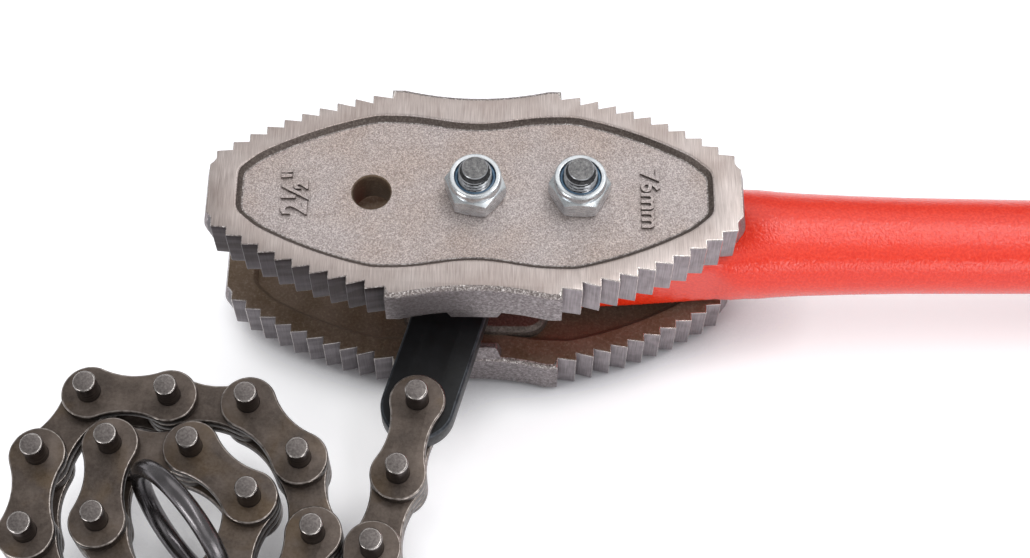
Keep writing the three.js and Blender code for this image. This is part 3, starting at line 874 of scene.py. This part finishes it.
def figures_mesh(text, length, height):
    """Raised figures with bevelled edges, centred, their reading direction along +X."""
    curve = bpy.data.curves.new("figures", "FONT")
    curve.body = text
    curve.align_x = curve.align_y = "CENTER"
    curve.extrude = 0.03
    curve.bevel_depth = 0.014
    curve.offset = 0.016
    curve.resolution_u = 3
    holder = new_object("figures", curve)
    mesh = evaluated_mesh(holder)
    bpy.data.objects.remove(holder)
    low = Vector(min(v.co[k] for v in mesh.vertices) for k in range(3))
    high = Vector(max(v.co[k] for v in mesh.vertices) for k in range(3))
    size, middle = high - low, (high + low) / 2
    scale = Matrix.Diagonal((length / size.x, height / size.y, FIGURE_RELIEF / size.z, 1))
    mesh.transform(scale @ Matrix.Translation(-middle))
    return mesh


def make_figures():
    """The pipe sizes on each jaw: inches at the far end, millimetres by the handle."""
    out = JAW_GAP / 2 + JAW_THICKNESS - RECESS_DEPTH + FIGURE_RELIEF / 2 - FIGURE_SINK
    for jaw, over in (("upper", 0), ("lower", math.pi)):
        for unit, text, length, height, (x, y), turn in FIGURES:
            mesh = figures_mesh(text, length, height)
            place = (
                Matrix.Translation((0, 0, MIDDLE))
                @ Matrix.Rotation(over, 4, "X")
                @ Matrix.Translation((x, y, out))
                @ Matrix.Rotation(math.radians(turn), 4, "Z")
            )
            mesh.transform(Matrix.Scale(MM, 4) @ place)
            mesh.materials.append(JAW_FINISHES[CAST])
            mesh.materials.append(JAW_FINISHES[PAINTED_SHADE])
            # the figures' sloped sides get painted shade, a dark outline round each stroke
            sloped = [abs(face.normal.z) < FIGURE_TOP_NORMAL for face in mesh.polygons]
            mesh.polygons.foreach_set("material_index", sloped)
            put(f"jaw_{jaw}_{unit}_figures", mesh, "head", [], "jaw_steel", smooth=24)


# Handle


def handle_stations():
    """Place along X, half-width, half-thickness and squareness, which is 2 where the bar is round."""
    stations = []
    for a in evenly(0, math.pi / 2, 12)[1:]:
        x, half_width = -HEAD_HALF_WIDTH * math.cos(a), HEAD_HALF_WIDTH * math.sin(a)
        stations.append((x, half_width, HEAD_HALF_THICKNESS, 9))
    stations += [
        (14, 14.9, HEAD_HALF_THICKNESS, 9),
        (40, 13.4, HEAD_HALF_THICKNESS, 8),
        (52, 12.4, HEAD_HALF_THICKNESS, 7.5),
        (57, 12, HEAD_HALF_THICKNESS, 7),
        (59, 12.05, 10.85, 6),
        (60.5, 12.4, 11.4, 4),
        (62.5, 13.2, 12, 3),
        (64.5, SHANK_RADIUS, 12.6, 2.4),
        (67.5, SHANK_RADIUS, 13.3, 2.1),
    ]
    shank = [(71, SHANK_RADIUS), (76, 13.35), (82, 13), (94, 12.55), (108, 12.2), (150, 11.8)]
    shank += [(230, GRIP_RADIUS), (400, GRIP_RADIUS)]
    for inward, back in rounded_edge(HANDLE_END_ROUNDING, 6):
        shank.append((HANDLE_END - back, GRIP_RADIUS - inward))
    return stations + [(x, radius, radius, 2) for x, radius in shank]


def handle_section(x, half_width, half_thickness, power):
    points = []
    for a in turns_of(HANDLE_SIDES):
        c, s = math.cos(a), math.sin(a)
        y = half_width * math.copysign(abs(c) ** (2 / power), c)
        z = half_thickness * math.copysign(abs(s) ** (2 / power), s)
        points.append((x, y, z))
    return points


def make_handle():
    bar = Shell()
    rings = [bar.ring(handle_section(*station)) for station in handle_stations()]
    bar.bands(rings)
    bar.faces += [tuple(reversed(rings[0])), tuple(rings[-1])]
    bar.finishes += [0, 0]
    block = rounded_rectangle(SLOT_END + SLOT_BACK, HEAD_HALF_WIDTH + SLOT_CORNER, SLOT_CORNER)
    slot = [(x - SLOT_BACK, y) for x, y in block]
    cuts = [stack([(slot, -SLOT_HALF_HEIGHT), (slot, SLOT_HALF_HEIGHT)])]
    for x in (0, HOLE_SPACING):
        hole = circle(BOLT_HOLE_RADIUS, ROUND_SIDES, x)
        cuts.append(stack([(hole, -THROUGH), (hole, THROUGH)]))
    place = Matrix.Translation((0, 0, MIDDLE))
    mesh = mesh_of("handle_form", bar, [red_paint()], place)
    mesh = carve(mesh, [("DIFFERENCE", cut) for cut in cuts], place)
    put("handle_form", mesh, "head", ["handle"], "red_paint", smooth=36)


# Fasteners


THREAD_CREST, THREAD_ROOT, STUD_TIP = range(3)


def hexagon_radius(angle):
    sector = math.pi / 3
    return HEX_ACROSS_FLATS / 2 / math.cos((angle % sector) - sector / 2)


def hexagon_rings(shell, high, land, both_ends):
    """A hexagon's rings from height 0 up, its corners turned off to a round land below or at both ends."""
    angles = turns_of(STUD_SIDES)

    def ring(radius_of, z):
        return shell.ring([(radius_of(a) * math.cos(a), radius_of(a) * math.sin(a), z(a)) for a in angles])

    def cut(a):
        return min(land, hexagon_radius(a))

    def drop(a):
        return max(0.0, hexagon_radius(a) - land) * HEX_CHAMFER_SLOPE

    rings = [ring(cut, lambda a: 0), ring(hexagon_radius, drop)]
    if both_ends:
        rings += [ring(hexagon_radius, lambda a: high - drop(a)), ring(cut, lambda a: high)]
    else:
        rings.append(ring(hexagon_radius, lambda a: high))
    return rings


def stud_radius(angle, height, top):
    """A screw thread that runs out in the chamfered tip."""
    turn = (height / THREAD_PITCH - angle / (2 * math.pi)) % 1
    crest = min(1.0, max(0.0, abs(2 * turn - 1) * THREAD_STEEPNESS - THREAD_ROOT_FLAT))
    below = top - height
    tip = STUD_TIP_RADIUS - max(0.0, STUD_RIM - below) + max(0.0, below - STUD_NECK) * STUD_TAPER
    return min(BOLT_RADIUS - THREAD_DEPTH * (1 - crest), tip)


def bolt_shell():
    """A hexagon head, a plain shank up to the nut, and the thread that stands out above it."""
    bolt = Shell()
    angles = turns_of(STUD_SIDES)
    land = HEX_ACROSS_FLATS / 2 - BOLT_HEAD_LAND
    rings = hexagon_rings(bolt, BOLT_HEAD_HEIGHT, land, both_ends=False)
    thread_start = SEAT + NUT_HEX_HEIGHT
    top = SEAT + NUT_HEIGHT + STUD_STANDOUT
    for z in (BOLT_HEAD_HEIGHT, thread_start):
        rings.append(bolt.ring(circle(BOLT_RADIUS, STUD_SIDES), z))
    bolt.bands(rings)
    bolt.cap(rings[0], up=False)
    steps = round((top - thread_start) / THREAD_STEP)
    for z in evenly(thread_start, top, steps)[1:]:
        radii = [stud_radius(a, z, top) for a in angles]
        rings.append(bolt.ring([(r * math.cos(a), r * math.sin(a), z) for r, a in zip(radii, angles)]))
        bolt.band(rings[-2], rings[-1])
        roots = [r < BOLT_RADIUS - THREAD_DEPTH * DARK_ROOT_SHARE and z < top - UNDARKENED_TIP for r in radii]
        bolt.finishes[-STUD_SIDES:] = [THREAD_ROOT if root else THREAD_CREST for root in roots]
    bolt.cap(rings[-1], finish=STUD_TIP)
    return bolt


def nut_shell():
    """A hexagon, then a collar that is rolled over the insert, its seat, and the bore."""
    nut = Shell()
    land = HEX_ACROSS_FLATS / 2 - NUT_LAND
    rings = hexagon_rings(nut, NUT_HEX_HEIGHT, land, both_ends=True)
    collar = [
        (NUT_COLLAR_RADIUS - 0.1, NUT_HEX_HEIGHT + 0.05),
        (NUT_COLLAR_RADIUS, NUT_HEX_HEIGHT + 0.4),
        (NUT_COLLAR_RADIUS, NUT_HEIGHT - 0.75),
        (NUT_COLLAR_RADIUS - 0.1, NUT_HEIGHT - 0.35),
        (NUT_COLLAR_RADIUS - 0.35, NUT_HEIGHT - 0.08),
        (NUT_COLLAR_RADIUS - 0.65, NUT_HEIGHT),
        (NUT_LIP_RADIUS + 0.2, NUT_HEIGHT - 0.08),
        (NUT_LIP_RADIUS, NUT_HEIGHT - 0.35),
        (INSERT_RADIUS + 0.15, NUT_HEIGHT - 0.6),
        (INSERT_RADIUS + 0.15, NUT_HEX_HEIGHT - 0.1),
        (NUT_BORE_RADIUS, NUT_HEX_HEIGHT - 0.1),
        (NUT_BORE_RADIUS, 0),
    ]
    rings += [nut.ring(circle(r, STUD_SIDES), z) for r, z in collar]
    nut.bands([*rings, rings[0]])
    return nut


def insert_shell():
    insert = Shell()
    profile = [
        (NUT_BORE_RADIUS, NUT_HEX_HEIGHT + 0.1),
        (INSERT_RADIUS, NUT_HEX_HEIGHT + 0.1),
        (INSERT_RADIUS, NUT_HEIGHT - 0.9),
        (NUT_LIP_RADIUS - 0.05, NUT_HEIGHT - 0.62),
        (NUT_LIP_RADIUS - 0.3, NUT_HEIGHT - 0.5),
        (NUT_BORE_RADIUS + 0.25, NUT_HEIGHT - 0.5),
        (NUT_BORE_RADIUS, NUT_HEIGHT - 0.75),
    ]
    rings = [insert.ring(circle(r, 48), z) for r, z in profile]
    insert.bands([*rings, rings[0]])
    return insert


def make_fasteners():
    zinc, nylon = zinc_plate(), blue_nylon()
    screw = [stud_side(), thread_root(), stud_steel()]
    bolt, nut, insert = bolt_shell(), nut_shell(), insert_shell()
    for where, x in (("centre", 0), ("rear", HOLE_SPACING)):
        on_axis = Matrix.Translation((x, 0, 0))
        on_seat = Matrix.Translation((x, 0, SEAT))
        turned = on_seat @ Matrix.Rotation(math.radians(NUT_TURN[where]), 4, "Z")
        pieces = [
            (f"bolt_{where}", bolt, screw, "zinc", on_axis, 40),
            (f"lock_nut_{where}", nut, [zinc], "zinc", turned, 28),
            (f"nut_insert_{where}", insert, [nylon], "nylon", on_seat, 50),
        ]
        for node, shell, materials, slot, place, smooth in pieces:
            make(f"{node}_form", shell, materials, "head", [node], slot, place, smooth)


# Shackle, chain and ring


def slab(shell, outline_at, holes, low, high, edge, finishes):
    """A slab with rounded edges from its outline at each inset, each hole given as (x, radius)."""
    face, rounding, side = finishes
    bevel = rounded_edge(edge)
    under = [shell.ring(outline_at(d), low + h) for d, h in reversed(bevel)]
    over = [shell.ring(outline_at(d), high - h) for d, h in bevel]
    shell.bands(under, rounding)
    shell.band(under[-1], over[0], side)
    shell.bands(over, rounding)
    mouths = {"low": [], "high": []}
    for x, radius in holes:
        lip = PIN_SEAT_LIP if radius == PIN_SEAT_RADIUS else HOLE_LIP
        levels = [(radius + lip, low), (radius, low + lip), (radius, high - lip), (radius + lip, high)]
        walls = [shell.ring(circle(r, ROUND_SIDES, x), z) for r, z in levels]
        shell.bands(walls[::-1], side)
        mouths["low"].append(walls[0])
        mouths["high"].append(walls[-1])
    shell.cap(under[0], mouths["low"], up=False, finish=face)
    shell.cap(over[-1], mouths["high"], finish=face)


def link_outline():
    """Round ends about two pins, and a hollow in each long side that runs smoothly into them."""
    middle = PITCH / 2
    hollow = (middle**2 + PLATE_WAIST**2 - PLATE_END_RADIUS**2) / (2 * (PLATE_END_RADIUS - PLATE_WAIST))
    hollow_y = PLATE_WAIST + hollow
    sweep = math.degrees(math.atan2(middle, hollow_y))
    quarter = arc(middle, 0, PLATE_END_RADIUS, 0, 90 + sweep, 20)
    quarter += arc(0, hollow_y, hollow, -90 + sweep, -90, 6)[1:]
    return [(x + middle, y) for x, y in mirrored_outline(quarter)]


def along(start, end):
    way = end - start
    return Matrix.Translation(start) @ Matrix.Rotation(math.atan2(way.y, way.x), 4, "Z")


def make_shackle():
    pivot, first_pin = PINS["shackle_pivot"], PINS["link_01_hinge"]
    length = (first_pin - pivot).length
    half = length / 2
    outline = rounded_rectangle(half + SHACKLE_HALF_WIDTH, SHACKLE_HALF_WIDTH, SHACKLE_HALF_WIDTH, steps=20)
    outline = [(x + half, y) for x, y in outline]
    shell = Shell()
    holes = [(0, SHACKLE_HOLE_RADIUS), (length, PLATE_HOLE_RADIUS)]
    reach = SHACKLE_HALF_THICKNESS
    # its rounded edge gets the painted highlight
    slab(shell, lambda d: inset(outline, d), holes, -reach, reach, SHACKLE_EDGE, (0, 1, 0))
    place = along(pivot, first_pin)
    make("shackle_form", shell, [black_steel(), shackle_edge_highlight()], "shackle", ["shackle"], "black_steel", place)


def make_chain():
    stops = [PINS[f"link_{i:02d}_hinge"] for i in range(1, LINKS + 1)] + [PINS["ring_swing"]]
    outline = link_outline()
    near, far = PLATE_GAP / 2, PLATE_GAP / 2 + INNER_PLATE
    low = far + PLATE_GAP
    high = low + OUTER_PLATE

    def plate(shell, holes, bottom, top):
        finishes = (PLATE_FACE, PLATE_ROUNDING, PLATE_SIDE)
        slab(shell, lambda d: inset(outline, d), holes, bottom, top, PLATE_EDGE, finishes)

    def pin(shell, x):
        finishes = (PIN_TOP, PIN_RIM, PIN_SIDE)
        reach = PIN_HALF_LENGTH
        slab(shell, lambda d: circle(PIN_RADIUS - d, ROUND_SIDES, x), [], -reach, reach, PIN_EDGE, finishes)

    outer = Shell()
    snug = [(0, PIN_SEAT_RADIUS), (PITCH, PIN_SEAT_RADIUS)]
    plate(outer, snug, low, high)
    plate(outer, snug, -high, -low)
    pin(outer, 0)
    pin(outer, PITCH)
    for i in range(1, LINKS + 1):
        place = along(stops[i - 1], stops[i])
        body = f"link_{i:02d}"
        if i % 2:
            node = f"outer_link_{i:02d}"
            make(f"{node}_form", outer, CHAIN_FINISHES, body, [node], "chain_steel", place)
            continue
        end_hole = RING_HOLE_RADIUS if i == LINKS else PLATE_HOLE_RADIUS
        for side, (bottom, top) in (("upper", (near, far)), ("lower", (-far, -near))):
            inner = Shell()
            plate(inner, [(0, PLATE_HOLE_RADIUS), (PITCH, end_hole)], bottom, top)
            node = f"inner_plate_{i:02d}_{side}"
            make(f"{node}_form", inner, CHAIN_FINISHES, body, [node], "chain_steel", place)


def make_ring():
    hole = PINS["ring_swing"]
    heading = math.radians(RING_HEADING)
    reach = math.sqrt(RING_RADIUS**2 - RING_RISE**2)
    centre = hole + Vector((reach * math.cos(heading), reach * math.sin(heading), RING_RISE))
    turns, sides = 96, 32
    wire = Shell()
    rings = []
    for a in turns_of(turns):
        section = []
        for radial, rise in circle(RING_WIRE_RADIUS, sides):
            r = RING_RADIUS + radial
            section.append((r * math.cos(a), r * math.sin(a), rise))
        rings.append(wire.ring(section))
    wire.bands([rings[0], *rings[:0:-1], rings[0]])
    place = (
        Matrix.Translation(centre)
        @ Matrix.Rotation(heading, 4, "Z")
        @ Matrix.Rotation(math.radians(90 + RING_LEAN), 4, "X")
    )
    make("pull_ring_form", wire, [ring_steel()], "ring", ["pull_ring"], "ring_steel", place)


make_jaws()
make_figures()
make_handle()
make_fasteners()
make_shackle()
make_chain()
make_ring()


# Camera, light and floor


def make_camera():
    pitch, yaw, roll = (math.radians(a) for a in (CAMERA_PITCH, CAMERA_YAW, CAMERA_ROLL))
    ahead = Vector((math.sin(yaw) * math.cos(pitch), math.cos(yaw) * math.cos(pitch), -math.sin(pitch)))
    right = Vector((math.cos(yaw), -math.sin(yaw), 0))
    up = right.cross(ahead)
    right, up = (
        right * math.cos(roll) + up * math.sin(roll),
        up * math.cos(roll) - right * math.sin(roll),
    )
    camera = new_object("camera", bpy.data.cameras.new("camera"))
    turn = Matrix((right, up, -ahead)).transposed().to_4x4()
    camera.matrix_world = Matrix.Translation(Vector(CAMERA_PLACE) * MM) @ turn
    camera.data.lens = CAMERA_LENS
    camera.data.sensor_width = 36
    camera.data.clip_start = 0.01
    bpy.context.scene.camera = camera


def make_lamp(name, place, aim, size, watts):
    lamp = bpy.data.lights.new(name, "AREA")
    lamp.shape = "RECTANGLE"
    lamp.size, lamp.size_y = size
    lamp.energy = watts
    way = Vector(aim) - Vector(place)
    turn = way.to_track_quat("-Z", "Y").to_matrix().to_4x4()
    new_object(name, lamp).matrix_world = Matrix.Translation(place) @ turn


def make_world():
    """White to the camera, dimmer in reflections, and a plain soft light on matt surfaces."""
    world = bpy.data.worlds.new("studio")
    world.use_nodes = True
    bpy.context.scene.world = world
    nodes, links = world.node_tree.nodes, world.node_tree.links
    back = nodes["Background"]
    back.inputs["Color"].default_value = (1, 1, 1, 1)
    path = nodes.new("ShaderNodeLightPath")
    level = None
    for ray, strength in (("Is Glossy Ray", WORLD_REFLECTED), ("Is Camera Ray", 1.0)):
        choice = nodes.new("ShaderNodeMix")
        choice.inputs["A"].default_value = WORLD_DIFFUSE
        choice.inputs["B"].default_value = strength
        links.new(path.outputs[ray], choice.inputs["Factor"])
        if level:
            links.new(level, choice.inputs["A"])
        level = choice.outputs["Result"]
    links.new(level, back.inputs["Strength"])


def make_floor():
    """A pale floor just under the tool as it lies, which glows except where the tool is close above it."""
    lowest = min(
        v.co.z / MM - FLOOR_RISE_X * v.co.x / MM - FLOOR_RISE_Y * v.co.y / MM
        for node in frame["nodes"].values()
        for v in node.data.vertices
    )
    mesh = bpy.data.meshes.new("floor")
    mesh.from_pydata(
        [
            Vector((x, y, lowest + FLOOR_RISE_X * x + FLOOR_RISE_Y * max(y, FLOOR_FOLD_Y))) * MM
            for y in (-FLOOR_REACH, FLOOR_FOLD_Y, FLOOR_REACH)
            for x in (-FLOOR_REACH, FLOOR_REACH)
        ],
        [],
        [(0, 1, 3, 2), (2, 3, 5, 4)],
    )
    grey = (FLOOR_GREY, FLOOR_GREY, FLOOR_GREY * FLOOR_BLUENESS, 1)
    f = Finish("floor", Base_Color=grey, Roughness=0.6)
    path = f.node("LightPath")
    seen = f.node("Math")
    seen.operation = "ADD"
    f.link(path.outputs["Is Camera Ray"], seen, 0)
    f.link(path.outputs["Is Glossy Ray"], seen, 1)
    glow = f.node("Math")
    glow.operation = "MULTIPLY"
    near = f.node("AmbientOcclusion")
    near.inputs["Distance"].default_value = FLOOR_SHADE_REACH * MM
    f.link(seen.outputs[0], glow, 0)
    f.link(f.ramp(near.outputs["AO"], list(zip(FLOOR_SHADE, (0.0, FLOOR_GLOW)))), glow, 1)
    f.shader.inputs["Emission Color"].default_value = (1, 1, 1, 1)
    f.link(glow.outputs[0], f.shader, "Emission Strength")
    mesh.materials.append(f.material)
    floor = new_object("floor", mesh)


make_camera()
make_world()
make_floor()
for lamp in LAMPS:
    make_lamp(*lamp)
bpy.context.scene.view_settings.view_transform = "Standard"
